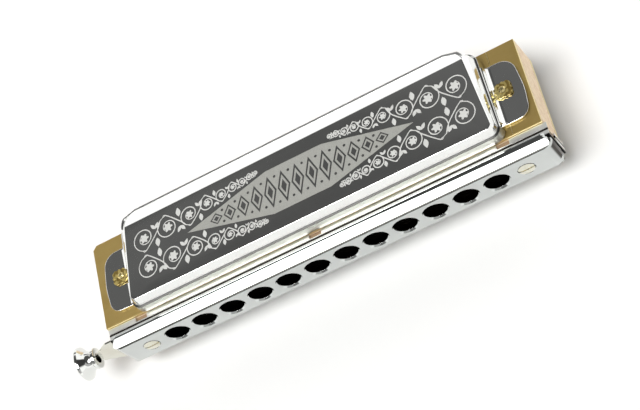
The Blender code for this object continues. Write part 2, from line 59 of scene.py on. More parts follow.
# Sizes shared with the CAD
HOLES = 12
PITCH = 9.2
HOLE_X = [PITCH * (i - (HOLES - 1) / 2) for i in range(HOLES)]
PLATE_BOTTOM, PLATE_TOP = 5.6, 6.65
COVER_X = 0.4
COVER_BOTTOM = 6.95
SHEET = 0.45
MOUTH_X = [corner[0] / MM for corner in NODES["mouthpiece"].bound_box]
MOUTH_MIDDLE = (max(MOUTH_X) + min(MOUTH_X)) / 2
MOUTH_HALF = (max(MOUTH_X) - min(MOUTH_X)) / 2


# ---------------------------------------------------------------- node materials

class Paint:
    """A Principled material whose colour, roughness and bump are put together from small steps."""

    def __init__(self, name, colour, metallic=0.0, roughness=0.4):
        self.material = bpy.data.materials.new(name)
        self.material.use_nodes = True
        self.tree = self.material.node_tree
        self.shader = self.tree.nodes["Principled BSDF"]
        self.shader.inputs["Base Color"].default_value = (*colour, 1)
        self.shader.inputs["Metallic"].default_value = metallic
        self.shader.inputs["Roughness"].default_value = roughness
        start = self.node("ShaderNodeRGB")
        start.outputs[0].default_value = (*colour, 1)
        self.colour = start.outputs[0]
        self.coordinates = self.node("ShaderNodeTexCoord").outputs["Object"]

    def node(self, kind, **settings):
        made = self.tree.nodes.new(kind)
        for key, value in settings.items():
            setattr(made, key, value)
        return made

    def link(self, source, target):
        self.tree.links.new(source, target)

    def stretched(self, scale):
        mapping = self.node("ShaderNodeMapping")
        mapping.inputs["Scale"].default_value = scale
        self.link(self.coordinates, mapping.inputs["Vector"])
        return mapping.outputs["Vector"]

    def noise(self, scale, detail=2.0, roughness=0.5, distortion=0.0):
        """Noise with its features per metre along x, y and z."""
        node = self.node("ShaderNodeTexNoise")
        node.inputs["Scale"].default_value = 1.0
        node.inputs["Detail"].default_value = detail
        node.inputs["Roughness"].default_value = roughness
        node.inputs["Distortion"].default_value = distortion
        scale = scale if hasattr(scale, "__len__") else (scale,) * 3
        self.link(self.stretched(scale), node.inputs["Vector"])
        return node.outputs["Fac"]

    def axis(self, name, of="place"):
        """One coordinate of the place in millimetres, or of the surface's normal."""
        parts = self.node("ShaderNodeSeparateXYZ")
        if of == "place":
            self.link(self.stretched((1 / MM,) * 3), parts.inputs[0])
        else:
            self.link(self.node("ShaderNodeNewGeometry").outputs["True Normal"], parts.inputs[0])
        return parts.outputs["XYZ".index(name)]

    def from_plane(self, name, place):
        """The distance in millimetres from a plane across an axis."""
        return self.math("ABSOLUTE", self.math("SUBTRACT", self.axis(name), place))

    def along_y(self, start, full):
        """From 0 to 1 between two places in y, in design coordinates."""
        return self.ranged(self.axis("Y"), start - REST_Y, full - REST_Y)

    def ranged(self, source, low, high, to_low=0.0, to_high=1.0):
        """From one range to another, with smooth ends. low may be above high."""
        node = self.node("ShaderNodeMapRange", interpolation_type="SMOOTHSTEP")
        for key, value in zip(("From Min", "From Max", "To Min", "To Max"), (low, high, to_low, to_high)):
            node.inputs[key].default_value = value
        self.link(source, node.inputs["Value"])
        return node.outputs["Result"]

    def math(self, operation, a, b=0.0):
        node = self.node("ShaderNodeMath", operation=operation)
        for socket, value in zip(node.inputs, (a, b)):
            if isinstance(value, (int, float)):
                socket.default_value = value
            else:
                self.link(value, socket)
        return node.outputs[0]

    def tint(self, mask, colour, blend="MIX"):
        """Lays another colour over what is there, where the mask is 1."""
        node = self.node("ShaderNodeMix", data_type="RGBA", blend_type=blend)
        self.link(mask, node.inputs["Factor"])
        self.link(self.colour, node.inputs[6])
        node.inputs[7].default_value = (*colour, 1)
        self.colour = node.outputs[2]
        self.link(self.colour, self.shader.inputs["Base Color"])
        return self

    def rough(self, source, low, high):
        """Roughness that follows a noise between two values."""
        self.link(self.ranged(source, 0.3, 0.7, low, high), self.shader.inputs["Roughness"])
        return self

    def bump(self, source, depth):
        """A bump of a depth in millimetres, over any earlier one."""
        node = self.node("ShaderNodeBump")
        node.inputs["Strength"].default_value = 1.0
        node.inputs["Distance"].default_value = depth * MM
        self.link(source, node.inputs["Height"])
        earlier = self.shader.inputs["Normal"].links
        if earlier:
            self.link(earlier[0].from_socket, node.inputs["Normal"])
        self.link(node.outputs["Normal"], self.shader.inputs["Normal"])
        return self


def brushed(name, colour, shade, roughness, grain=(120, 6000, 6000), depth=0.0012):
    """Metal with fine drawn lines, faint handling smudges and a slow drift of tone."""
    paint = Paint(name, colour, 1.0, roughness[0])
    paint.tint(paint.ranged(paint.noise(90, 3), 0.35, 0.7), shade)
    lines = paint.noise(grain, 3, 0.6)
    smudges = paint.noise((260, 340, 300), 4, 0.6, 0.4)
    half_lines = paint.math("MULTIPLY", lines, 0.5)
    half_smudges = paint.math("MULTIPLY", smudges, 0.5)
    paint.rough(paint.math("ADD", half_lines, half_smudges), *roughness)
    paint.bump(lines, depth)
    return paint


SHADE = (0.012, 0.011, 0.010)  # painted shade inside

# Where a finish, a painted shade or a painted reflection changes, as (where it starts, where it is full).
# Heights are from the comb's mid-plane.
SKIRT_Y = (9.6, 8.8)
SKIRT_DULL_HEIGHT = (11.6, 10.1)
SKIRT_SHADE_HEIGHT = (10.0, 9.8)
LEDGE_BELOW, LEDGE_ABOVE = (9.86, 9.94), (10.36, 10.28)
BORE_HEIGHT = (3.85, 3.7)
BORE_Y = (0.5, 0.9)
MOUTH_FRONT_Y = (0.6, 0.5)
MOUTH_EDGE_HEIGHT = (5.05, 5.15)
MOUTH_END = (0.7, 0.6)
CAGE_INSIDE_Y = (3.6, 3.3)
FOLD_FRONT_Y, FOLD_BACK_Y = (4.5, 4.6), (5.4, 5.25)
SLIDE_SHADE_X = (-69.6, -68.6)
BACK_PLATE_SHADE_X = (-75, -70)
NOTCH_SHADE_Y = (7.1, 6.9)


def make_materials():
    """Every finish by its slot, or by its own name where the CAD has no slot for it."""
    made = {}
    made["cover_steel"] = brushed(
        "polished_cover_steel", (0.88, 0.885, 0.87), (0.84, 0.845, 0.83), (0.06, 0.12), depth=0.0005
    )
    # The covers' front skirt is duller than the rest and darkened by painted shade, and the ledge over it
    # carries a painted dark reflection.
    cover = made["cover_steel"]
    height = cover.from_plane("Z", COVER_TOP)
    grain = cover.shader.inputs["Roughness"].links[0].from_socket
    front = cover.along_y(*SKIRT_Y)
    dull = cover.math("MULTIPLY", cover.ranged(height, *SKIRT_DULL_HEIGHT, 0.0, 0.3), front)
    cover.link(cover.math("ADD", grain, dull), cover.shader.inputs["Roughness"])
    cover.tint(cover.math("MULTIPLY", front, cover.ranged(height, *SKIRT_SHADE_HEIGHT)), (0.70, 0.71, 0.66))
    ledge_reflection = cover.math(
        "MULTIPLY", cover.ranged(height, *LEDGE_BELOW), cover.ranged(height, *LEDGE_ABOVE)
    )
    strength = cover.math("ADD", cover.math("MULTIPLY", front, 0.55), 0.4)
    cover.tint(cover.math("MULTIPLY", ledge_reflection, strength), (0.03, 0.03, 0.028))
    made["rolled_edge"] = brushed("rolled_edge", (0.34, 0.34, 0.335), (0.26, 0.26, 0.255), (0.28, 0.42))
    made["mouthpiece_chrome"] = brushed(
        "mouthpiece_chrome", (0.60, 0.62, 0.61), (0.57, 0.59, 0.58), (0.02, 0.06), depth=0.0002
    )
    # Painted shade darkens its bores, and a painted dark reflection follows the edges where its sloping sides
    # begin.
    chrome = made["mouthpiece_chrome"]
    height = chrome.from_plane("Z", COVER_TOP)
    bore_shade = chrome.math("MULTIPLY", chrome.ranged(height, *BORE_HEIGHT), chrome.along_y(*BORE_Y))
    chrome.tint(bore_shade, (0.05, 0.045, 0.04))
    along = chrome.from_plane("X", MOUTH_MIDDLE)
    ends = chrome.ranged(along, *(MOUTH_HALF - inset for inset in MOUTH_END))
    rim = chrome.math("MAXIMUM", chrome.along_y(*MOUTH_FRONT_Y), ends)
    edge = chrome.math("MULTIPLY", chrome.ranged(height, *MOUTH_EDGE_HEIGHT), rim)
    chrome.tint(edge, (0.05, 0.05, 0.047))
    made["cage_steel"] = brushed(
        "cage_steel", (0.94, 0.94, 0.92), (0.86, 0.86, 0.84), (0.36, 0.48), depth=0.0003
    )
    # Painted shade inside, and a painted shade line along the fold in its top
    cage = made["cage_steel"]
    cage.tint(cage.along_y(*CAGE_INSIDE_Y), SHADE)
    fold_shade = cage.math("MULTIPLY", cage.along_y(*FOLD_FRONT_Y), cage.along_y(*FOLD_BACK_Y))
    cage.tint(fold_shade, (0.035, 0.03, 0.026))
    made["button_chrome"] = brushed(
        "button_chrome", (0.80, 0.81, 0.79), (0.74, 0.75, 0.73), (0.02, 0.06), (4000, 500, 500), 0.0002
    )
    slide = brushed("nickelled_slide", (0.70, 0.70, 0.64), (0.64, 0.62, 0.54), (0.14, 0.26), depth=0.0006)
    # Painted shade over the slide, all but its left end
    made["slide_brass"] = slide.tint(slide.ranged(slide.axis("X"), *SLIDE_SHADE_X), (0.03, 0.026, 0.02))
    made["screw_nickel"] = brushed(
        "screw_nickel", (0.74, 0.72, 0.62), (0.62, 0.58, 0.46), (0.14, 0.3), (900,) * 3
    )
    made["spring_steel"] = brushed(
        "spring_steel", (0.50, 0.50, 0.52), (0.34, 0.33, 0.34), (0.2, 0.36), (900,) * 3
    )
    made["reed_brass"] = brushed(
        "reed_brass", (0.80, 0.60, 0.28), (0.66, 0.46, 0.20), (0.18, 0.34), (5000, 160, 5000)
    )
    made["nail_brass"] = brushed(
        "nail_brass", (0.96, 0.84, 0.46), (0.84, 0.70, 0.32), (0.22, 0.36), (1500,) * 3
    )
    made["rosette_brass"] = brushed(
        "rosette_brass", (0.92, 0.78, 0.34), (0.66, 0.52, 0.18), (0.34, 0.5), (1500,) * 3
    )
    rosette = made["rosette_brass"]
    stamped = rosette.noise(1100, 0)
    rosette.tint(rosette.ranged(stamped, 0.5, 0.42), (0.34, 0.24, 0.07))
    rosette.bump(stamped, 0.12)
    back = brushed("back_plate_brass", (0.60, 0.46, 0.20), (0.44, 0.32, 0.13), (0.24, 0.4))
    # Painted shade over the back plate, all but its left end
    made["back_plate_brass"] = back.tint(back.ranged(back.axis("X"), *BACK_PLATE_SHADE_X), SHADE)

    plate = Paint("rolled_plate_brass", (0.56, 0.405, 0.145), 1.0, 0.4)
    plate.tint(plate.ranged(plate.noise((60, 90, 90), 4, 0.6), 0.35, 0.75), (0.49, 0.345, 0.115))
    plate.tint(plate.ranged(plate.noise(700, 3, 0.7), 0.64, 0.8, 0, 0.6), (0.34, 0.24, 0.085))
    # Painted highlight: the reed plates' edge faces are tinted a light yellow
    sides = plate.math("ABSOLUTE", plate.axis("Z", "normal"))
    plate.tint(plate.ranged(sides, 0.9, 0.6), (1.0, 0.88, 0.5))
    lines = plate.noise((90, 7000, 7000), 3, 0.6)
    plate.rough(lines, 0.42, 0.5)
    plate.bump(lines, 0.0006)
    made["plate_brass"] = plate

    wood = Paint("pearwood", (0.94, 0.75, 0.52), 0.0, 0.55)
    rings = wood.noise((26, 620, 520), 5, 0.62, 0.8)
    wood.tint(wood.ranged(rings, 0.35, 0.72), (0.82, 0.61, 0.42))
    pores = wood.noise((420, 9000, 9000), 2, 0.6)
    wood.tint(wood.ranged(pores, 0.62, 0.74, 0.0, 0.45), (0.48, 0.30, 0.20))
    # Painted shade on the comb's front, where it shows in the cage's notches
    wood.tint(wood.along_y(*NOTCH_SHADE_Y), (0.34, 0.23, 0.14))
    wood.rough(rings, 0.46, 0.66)
    wood.bump(pores, 0.01)
    made["pearwood"] = wood

    rubber = Paint("moulded_rubber", (0.03, 0.03, 0.03), 0.0, 0.75)
    rubber.tint(rubber.ranged(rubber.noise(2500, 3), 0.4, 0.7), (0.055, 0.052, 0.05))
    rubber.bump(rubber.noise(5000, 2), 0.01)
    made["rubber"] = rubber

    line = Paint("frosted_line", (0.66, 0.66, 0.64), 0.0, 0.5)
    line.tint(line.ranged(line.noise(9000, 2), 0.35, 0.7), (0.58, 0.58, 0.56))
    line.bump(line.noise(16000, 2), 0.006)
    made["frosted_line"] = line

    ground = Paint("stippled_ground", (0.43, 0.43, 0.40), 0.2, 0.5)
    ground.tint(ground.ranged(ground.noise(5200, 2, 0.7), 0.42, 0.6), (0.34, 0.34, 0.315))
    ground.bump(ground.noise(14000, 2), 0.008)
    made["stippled_ground"] = ground

    valve = Paint("valve_film", (0.80, 0.76, 0.64), 0.0, 0.5)
    valve.tint(valve.ranged(valve.noise((500, 200, 500), 3), 0.35, 0.7), (0.70, 0.64, 0.50))
    valve.bump(valve.noise((3000, 800, 3000), 2), 0.003)
    made["valve_film"] = valve
    return {slot: paint.material for slot, paint in made.items()}


FINISHES = make_materials()


# ---------------------------------------------------------------- smooth shading for the CAD nodes

def smoothing_group(angle):
    """Merges the import's split corners, then shades smooth across every edge below the angle."""
    group = bpy.data.node_groups.new("smooth_by_angle", "GeometryNodeTree")
    group.is_modifier = True
    group.interface.new_socket("Geometry", in_out="INPUT", socket_type="NodeSocketGeometry")
    group.interface.new_socket("Geometry", in_out="OUTPUT", socket_type="NodeSocketGeometry")
    nodes, links = group.nodes, group.links
    source = nodes.new("NodeGroupInput")
    result = nodes.new("NodeGroupOutput")
    merge = nodes.new("GeometryNodeMergeByDistance")
    merge.inputs["Distance"].default_value = 1e-6
    faces = nodes.new("GeometryNodeSetShadeSmooth")
    faces.domain = "FACE"
    edges = nodes.new("GeometryNodeSetShadeSmooth")
    edges.domain = "EDGE"
    measured = nodes.new("GeometryNodeInputMeshEdgeAngle")
    compare = nodes.new("FunctionNodeCompare")
    compare.data_type = "FLOAT"
    compare.operation = "LESS_THAN"
    compare.inputs["B"].default_value = math.radians(angle)
    links.new(source.outputs[0], merge.inputs["Geometry"])
    links.new(merge.outputs["Geometry"], faces.inputs["Geometry"])
    links.new(faces.outputs["Geometry"], edges.inputs["Geometry"])
    links.new(measured.outputs["Unsigned Angle"], compare.inputs["A"])
    links.new(compare.outputs["Result"], edges.inputs["Shade Smooth"])
    links.new(edges.outputs["Geometry"], result.inputs[0])
    return group


SMOOTHING = smoothing_group(38)
EDGES = {
    # bevel width in millimetres, segments, least angle
    "upper_reed_plate": (0.12, 2, 50),
    "lower_reed_plate": (0.12, 2, 50),
    "mouthpiece": (0.55, 4, 40),
}


def dress_node(name):
    """Gives a CAD node its finish and smooth shading, and leaves its shape alone."""
    obj = NODES[name]
    mesh = obj.data
    mesh.materials.clear()
    mesh.materials.append(FINISHES[SLOTS[name]])
    split = mesh.attributes.get("custom_normal")
    if split:
        mesh.attributes.remove(split)
    obj.modifiers.new("Smooth", "NODES").node_group = SMOOTHING
    if name in EDGES:
        width, segments, angle = EDGES[name]
        edge = obj.modifiers.new("Edge", "BEVEL")
        edge.width = width * MM
        edge.segments = segments
        edge.limit_method = "ANGLE"
        edge.angle_limit = math.radians(angle)
        edge.use_clamp_overlap = True


for node_name in NODES:
    dress_node(node_name)


# ---------------------------------------------------------------- mesh helpers

def new_piece(name, verts, faces, finishes, body="frame", kinds=None, below=False, sharp=32, replaces=()):
    """A piece from design coordinates, its faces already turned outwards. finishes are keys of FINISHES, and
    kinds is one index into them per face. below mirrors it to the other side of the comb."""
    mesh = bpy.data.meshes.new(name)
    matrix = DESIGN @ BELOW if below else DESIGN
    order = -1 if below else 1
    places = [tuple(matrix @ Vector(v)) for v in verts]
    mesh.from_pydata(places, [], [tuple(face)[::order] for face in faces])
    for finish in finishes:
        mesh.materials.append(FINISHES[finish])
    if kinds:
        mesh.polygons.foreach_set("material_index", kinds)
    bm = bmesh.new()
    bm.from_mesh(mesh)
    bmesh.ops.remove_doubles(bm, verts=bm.verts, dist=1e-6)
    bm.to_mesh(mesh)
    bm.free()
    obj = bpy.data.objects.new(name, mesh)
    bpy.context.scene.collection.objects.link(obj)
    finish_piece(obj, body, sharp, replaces)


def finish_piece(obj, body, sharp, replaces):
    """Smooth shading with flat faces kept flat, and what the frame needs to know of the piece."""
    mesh = obj.data
    mesh.polygons.foreach_set("use_smooth", [True] * len(mesh.polygons))
    mesh.set_sharp_from_angle(angle=math.radians(sharp))
    normals = obj.modifiers.new("Normals", "WEIGHTED_NORMAL")
    normals.keep_sharp = True
    normals.weight = 60
    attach(obj, body)
    if replaces:
        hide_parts(*replaces)


def fillet_path(points, radii, steps=4, lead=0.05, most=0.44):
    """A path of 3-D points with its inner corners rounded, each between two short flat leads."""
    path = [Vector(points[0])]
    for before, corner, after, radius in zip(points, points[1:], points[2:], radii):
        corner = Vector(corner)
        back, onward = Vector(before) - corner, Vector(after) - corner
        room = most * min(back.length, onward.length)
        back.normalize()
        onward.normalize()
        half = back.angle(onward) / 2
        reach = min(radius / math.tan(half), room)
        radius = reach * math.tan(half)
        centre = corner + (back + onward).normalized() * radius / math.sin(half)
        first, last = corner + back * reach, corner + onward * reach
        path.append(first + back * lead)
        for step in range(steps + 1):
            share = step / steps
            spoke = (first - centre).lerp(last - centre, share).normalized() * radius
            path.append(centre + spoke)
        path.append(last + onward * lead)
    path.append(Vector(points[-1]))
    return path


def grid_faces(rows, columns, close_columns=False, start=0):
    """The quads of a grid of points, given row by row."""
    faces = []
    for i in range(rows - 1):
        for j in range(columns if close_columns else columns - 1):
            a, b = i * columns, (i + 1) * columns
            k = (j + 1) % columns
            faces.append((start + a + j, start + a + k, start + b + k, start + b + j))
    return faces


def outward(points, faces):
    """The same faces, turned so that a closed part's normals point out."""
    bm = bmesh.new()
    made = [bm.verts.new(p) for p in points]
    for face in faces:
        bm.faces.new([made[i] for i in face])
    bm.verts.index_update()
    bmesh.ops.recalc_face_normals(bm, faces=bm.faces)
    turned = [[v.index for v in face.verts] for face in bm.faces]
    bm.free()
    return turned


def circle(x, y, radius, sides=12):
    angles = [2 * math.pi * i / sides for i in range(sides)]
    return [(x + radius * math.cos(a), y + radius * math.sin(a)) for a in angles]


def rounded(corners, steps=4):
    """A flat outline whose corners (a, b, radius) are rounded by arcs of the given number of steps."""
    outline = []
    count = len(corners)
    for i, (a, b, radius) in enumerate(corners):
        corner = Vector((a, b))
        if not radius:
            outline.append(tuple(corner))
            continue
        before = (Vector(corners[i - 1][:2]) - corner).normalized()
        after = (Vector(corners[(i + 1) % count][:2]) - corner).normalized()
        half = before.angle(after) / 2
        centre = corner + (before + after).normalized() * radius / math.sin(half)
        first = corner + before * radius / math.tan(half) - centre
        turn = first.angle_signed(corner + after * radius / math.tan(half) - centre)
        for step in range(steps + 1):
            outline.append(tuple(centre + Matrix.Rotation(-turn * step / steps, 2) @ first))
    return outline


def signed_area(shape):
    return sum(a[0] * b[1] - b[0] * a[1] for a, b in zip(shape, shape[1:] + shape[:1])) / 2


def layered_region(outline, layers, rows=()):
    """Cuts a flat outline up by shapes laid over it. Each layer is (shape, kind), and a later one covers
    an earlier one. Returns points, triangles and each triangle's kind, which is None for bare ground."""
    points = []
    faces = []
    edges = []
    for shape in [outline] + [shape for shape, _ in layers]:
        faces.append(list(range(len(points), len(points) + len(shape))))
        points += [Vector(p) for p in (shape if signed_area(shape) > 0 else reversed(shape))]
    for a, b in rows:
        edges.append((len(points), len(points) + 1))
        points += [Vector(a), Vector(b)]
    found = geometry.delaunay_2d_cdt(points, edges, faces, 1, 1e-5)
    flat, triangles, sources = found[0], found[2], found[5]
    kept, kinds = [], []
    for triangle, source in zip(triangles, sources):
        if 0 not in source:
            continue
        top = max(source)
        kept.append(triangle)
        kinds.append(layers[top - 1][1] if top else None)
    return [tuple(p) for p in flat], kept, kinds


# ---------------------------------------------------------------- the covers' ornament

ORNAMENT_X, ORNAMENT_Y = 1.3, 20.1


def spiral(x, y, radius, start, turns, steps_per_turn=22):
    """From a start angle in degrees inwards; a negative number of turns goes clockwise."""
    steps = int(abs(turns) * steps_per_turn)
    path = []
    for i in range(steps + 1):
        share = i / steps
        angle = math.radians(start + 360 * turns * share)
        reach = radius * (1 - 0.74 * share ** 0.85)
        path.append((x + reach * math.cos(angle), y + reach * math.sin(angle)))
    return path


def smooth_path(knots, steps=7):
    """A Catmull-Rom curve through the knots."""
    ends = [Vector(knots[0])] + [Vector(k) for k in knots] + [Vector(knots[-1])]
    path = []
    for a, b, c, d in zip(ends, ends[1:], ends[2:], ends[3:]):
        for i in range(steps):
            t = i / steps
            square, cube = a * 2 - b * 5 + c * 4 - d, b * 3 - a - c * 3 + d
            curve = b * 2 + (c - a) * t + square * t * t + cube * t ** 3
            path.append(tuple(curve / 2))
    path.append(tuple(ends[-1]))
    return path


def ribbon(path, width):
    """The outline of an engraved line that swells in the middle and narrows to both ends."""
    left, right = [], []
    last = len(path) - 1
    for i, point in enumerate(path):
        ahead = Vector(path[min(i + 1, last)]) - Vector(path[max(i - 1, 0)])
        side = Vector((-ahead.y, ahead.x)).normalized()
        half = width / 2 * (0.55 + 0.45 * math.sin(math.pi * min(1, 0.12 + i / last)))
        left.append(tuple(Vector(point) + side * half))
        right.append(tuple(Vector(point) - side * half))
    return left + right[::-1]


PETALS = 6
PETAL_DEPTH = 0.2


def petals(x, y, radius):
    """A flower's outline, whose edge goes in between its petals."""
    outline = []
    for i in range(PETALS * 6):
        angle = 2 * math.pi * i / (PETALS * 6)
        reach = radius * (1 - PETAL_DEPTH + PETAL_DEPTH * math.cos(PETALS * angle))
        outline.append((x + reach * math.cos(angle), y + reach * math.sin(angle)))
    return outline


def leaf(x, y, length, width, degrees):
    """A pointed leaf with its stalk end at (x, y)."""
    upper = [(0.25, 0.38), (0.5, 0.5), (0.75, 0.34)]
    shape = [(0, 0)] + upper + [(1, 0)] + [(a, -b) for a, b in reversed(upper)]
    turn = Matrix.Rotation(math.radians(degrees), 2)
    return [tuple(Vector((x, y)) + turn @ Vector((a * length, b * width))) for a, b in shape]


LINE = 0.36  # an engraved line's width
PANEL = ((0.0, 7.0), (9.0, 7.0), (36.0, 0.0))  # the frosted panel's right half: distance, half-height
FIELD_HALF = 8.9  # from the ornament's middle line to the vines' outer edge
FIELD_ENDS = (11.0, 53.8)
VINE_MARGIN = 0.6
SPIRAL_SHARE = 0.48  # a spiral's radius as a share of the room
SPIRAL_GAP = 1.02
FLOWER_SHARE = 0.4  # a flower's radius as a share of its spiral's
LEAVES = (
    # between two spirals, as shares of the radius: place, length and width. Then degrees, and spread.
    (0.4, 0.75, 0.4, 90, 0),
    (-0.35, 0.55, 0.28, -90, -35),
    (-0.35, 0.55, 0.28, -90, 35),
)
DIAMOND_STEP = 4.4
DIAMOND_COUNT = 6
DIAMOND_WIDTH, DIAMOND_HEIGHT = 0.46, 0.74  # halves, as shares of the step and of the panel's half
DIAMOND_RINGS = ((1, None), (0.74, "ground"), (0.44, None))
DOT_RADIUS, DOT_SHARE = 0.42, 0.6


def panel_half(distance):
    """Half the panel's height at a distance from its middle."""
    for (x0, y0), (x1, y1) in zip(PANEL, PANEL[1:]):
        if distance <= x1:
            return y0 + (y1 - y0) * (distance - x0) / (x1 - x0)
    return 0.0


def diamond(x, y, half_width, half_height):
    return [(x - half_width, y), (x, y + half_height), (x + half_width, y), (x, y - half_height)]


def running_vine(side):
    """The vine on one side of the panel, growing with the room towards the cover's end: (spirals, links)."""
    spirals, links = [], []
    x, turn = FIELD_ENDS[0], 1
    while True:
        room = FIELD_HALF - panel_half(x) - VINE_MARGIN
        radius = SPIRAL_SHARE * room
        x += radius
        if x + radius > FIELD_ENDS[1]:
            return spirals, links
        y = side * (FIELD_HALF - room / 2)
        curl = spiral(x, y, radius, -90 * turn * side, 1.5 * turn * side)
        if spirals:
            before = spirals[-1][-1]
            links.append(smooth_path([before[len(before) // 12], (x - radius * 1.05, y), curl[0], curl[1]]))
        spirals.append((x, y, radius, curl))
        x += radius * SPIRAL_GAP
        turn = -turn


def ornament():
    """The engraving's shapes in painting order, as (outline, kind): ground, line, or None for polish."""
    (flat, tall), (tip, _) = PANEL[1:]
    outline = [(-tip, 0), (-flat, tall), (flat, tall), (tip, 0), (flat, -tall), (-flat, -tall)]
    shapes = [([(x + ORNAMENT_X, y + ORNAMENT_Y) for x, y in outline], "ground")]

    def both(shape, kind):
        moved = [(x + ORNAMENT_X, y + ORNAMENT_Y) for x, y in shape]
        shapes.append((moved, kind))
        shapes.append(([(2 * ORNAMENT_X - x, y) for x, y in reversed(moved)], kind))

    for i in range(-DIAMOND_COUNT, DIAMOND_COUNT + 1):
        x = DIAMOND_STEP * i
        height = DIAMOND_HEIGHT * panel_half(abs(x))
        for share, kind in DIAMOND_RINGS:
            outline = diamond(x, 0, DIAMOND_STEP * DIAMOND_WIDTH * share, height * share)
            shapes.append(([(px + ORNAMENT_X, py + ORNAMENT_Y) for px, py in outline], kind))
    for i in range(DIAMOND_COUNT):
        x = DIAMOND_STEP * (i + 0.5)
        for side in (1, -1):
            both(circle(x, side * DOT_SHARE * panel_half(x), DOT_RADIUS, 10), None)
    for side in (1, -1):
        spirals, links = running_vine(side)
        for link in links:
            both(ribbon(link, LINE), "line")
        for number, (x, y, radius, curl) in enumerate(spirals):
            both(ribbon(curl, LINE), "line")
            both(petals(x, y, FLOWER_SHARE * radius), "line")
            if not number:
                continue
            away = side if number % 2 else -side
            gap = x - radius * SPIRAL_GAP
            for place, length, width, facing, spread in LEAVES:
                foot = y + away * radius * place
                both(leaf(gap, foot, radius * length, radius * width, facing * away + spread), "line")
    return shapes


# ---------------------------------------------------------------- covers

COVER_LEVELS = (
    # half-length in front and behind, front edge, front corner, rear edge, height
    (58.3, 58.1, 6.62, 3.0, 35.9, 6.95),
    (58.0, 57.7, 6.6, 3.0, 35.8, 10.0),
    (57.5, 57.0, 7.1, 2.5, 35.6, 10.2),
    (57.2, 56.0, 7.53, 2.3, 35.5, 12.0),
    (56.6, 54.4, 7.85, 1.9, 35.3, COVER_TOP),
    (55.9, 53.6, 8.55, 1.5, 34.7, COVER_TOP),
)
# How far the inside lies from the outside at each level, and the inside's height
COVER_INSETS = ((0.45, 6.95), (0.44, 9.65), (0.4, 9.8), (0.4, 11.9), (0.38, 12.85), (0.0, 12.85))
OUTER_RADII = ((0.15, 0), (0.15, 0), (0.3, 1.8), (0.25, 0.9))  # each bend's, and how much more at the ends
INNER_RADII = (0.2, 0.2, 0.4, 0.4)
END_X, END_Y = (53, 1.6), (9, 3)  # where the ends' rounder bends set in, and over what length
TOP_LOWEST = 12.5  # a level above this height belongs to the top
REAR_CORNER = (51.2, 31.3)
REAR_Y = 35.3
REAR_BEND = 31.5
BEND_HALF = 0.25
REAR_SLOPE = 0.43 / (REAR_Y - REAR_BEND)
ENGRAVED = {"ground": 0.02, "line": 0.05}  # depths
HEM = (35.6, 12.05, 0.75)  # y, z, radius
HEM_X = (50.0, 25.0)
HEM_TAPER = (0.3, 4.2)  # the radius's share at the corner, and the length over which it grows by 1
CROWN = ((11.8, -1, 0.05), (28.6, 1, 0.045))  # where the top starts to drop, which way, how much in 3 mm
CORNER_ANGLES = (0.0, 0.05, 0.1, 0.15, 0.22, 0.32, 0.46, 0.62, 0.8, 1.0, 1.2, 1.36)
CROWN_ROWS = (9.2, 9.7, 10.3, 11.0, 11.8, 28.6, 29.4, 30.1, 30.7)


def top_height(y, height):
    """The top is flat, drops a hair along both long edges, and bends down towards the rear edge."""
    if height < TOP_LOWEST:
        return height
    for start, way, depth in CROWN:
        height -= depth * (max(0.0, (y - start) * way) / 3) ** 2
    past = y - REAR_BEND
    if past < -BEND_HALF:
        return height
    return height - REAR_SLOPE * (past if past > BEND_HALF else (past + BEND_HALF) ** 2)


def cover_line(level, inset=0.0, height=None):
    """One line round a cover, from the right end's rear corner by the front to the left end's."""
    front_x, rear_x, front_y, radius, rear_y, level_z = level
    front_x, rear_x, front_y = front_x - inset, rear_x - inset, front_y + inset
    rear_y -= inset
    radius = max(0.4, radius - inset)
    height = level_z if height is None else height
    corner_y = front_y + radius
    middle_x, middle_y = REAR_CORNER

    def side_x(y):
        return front_x + (rear_x - front_x) * (y - corner_y) / (REAR_Y - corner_y)

    half = []
    for angle in reversed(CORNER_ANGLES):
        reach = side_x(middle_y) - middle_x
        half.append((middle_x + reach * math.cos(angle), middle_y + (rear_y - middle_y) * math.sin(angle)))
    sides = 8
    for i in range(1, sides):
        y = middle_y + (corner_y - middle_y) * i / sides
        half.append((side_x(y), y))
    turns = 9
    for i in range(turns + 1):
        angle = math.pi / 2 * i / turns
        half.append((front_x - radius + radius * math.cos(angle), corner_y - radius * math.sin(angle)))
    for i in range(1, 7):
        half.append(((front_x - radius) * (1 - i / 6), front_y))
    line = half + [(-x, y) for x, y in reversed(half[:-1])]
    return [Vector((x + COVER_X, y, top_height(y, height))) for x, y in line]


def end_share(point):
    """0 along the front of a cover and 1 along its ends."""
    shares = []
    for value, (start, length) in ((abs(point.x - COVER_X), END_X), (point.y, END_Y)):
        shares.append(min(1, max(0, (value - start) / length)))
    return shares[0] * shares[1]


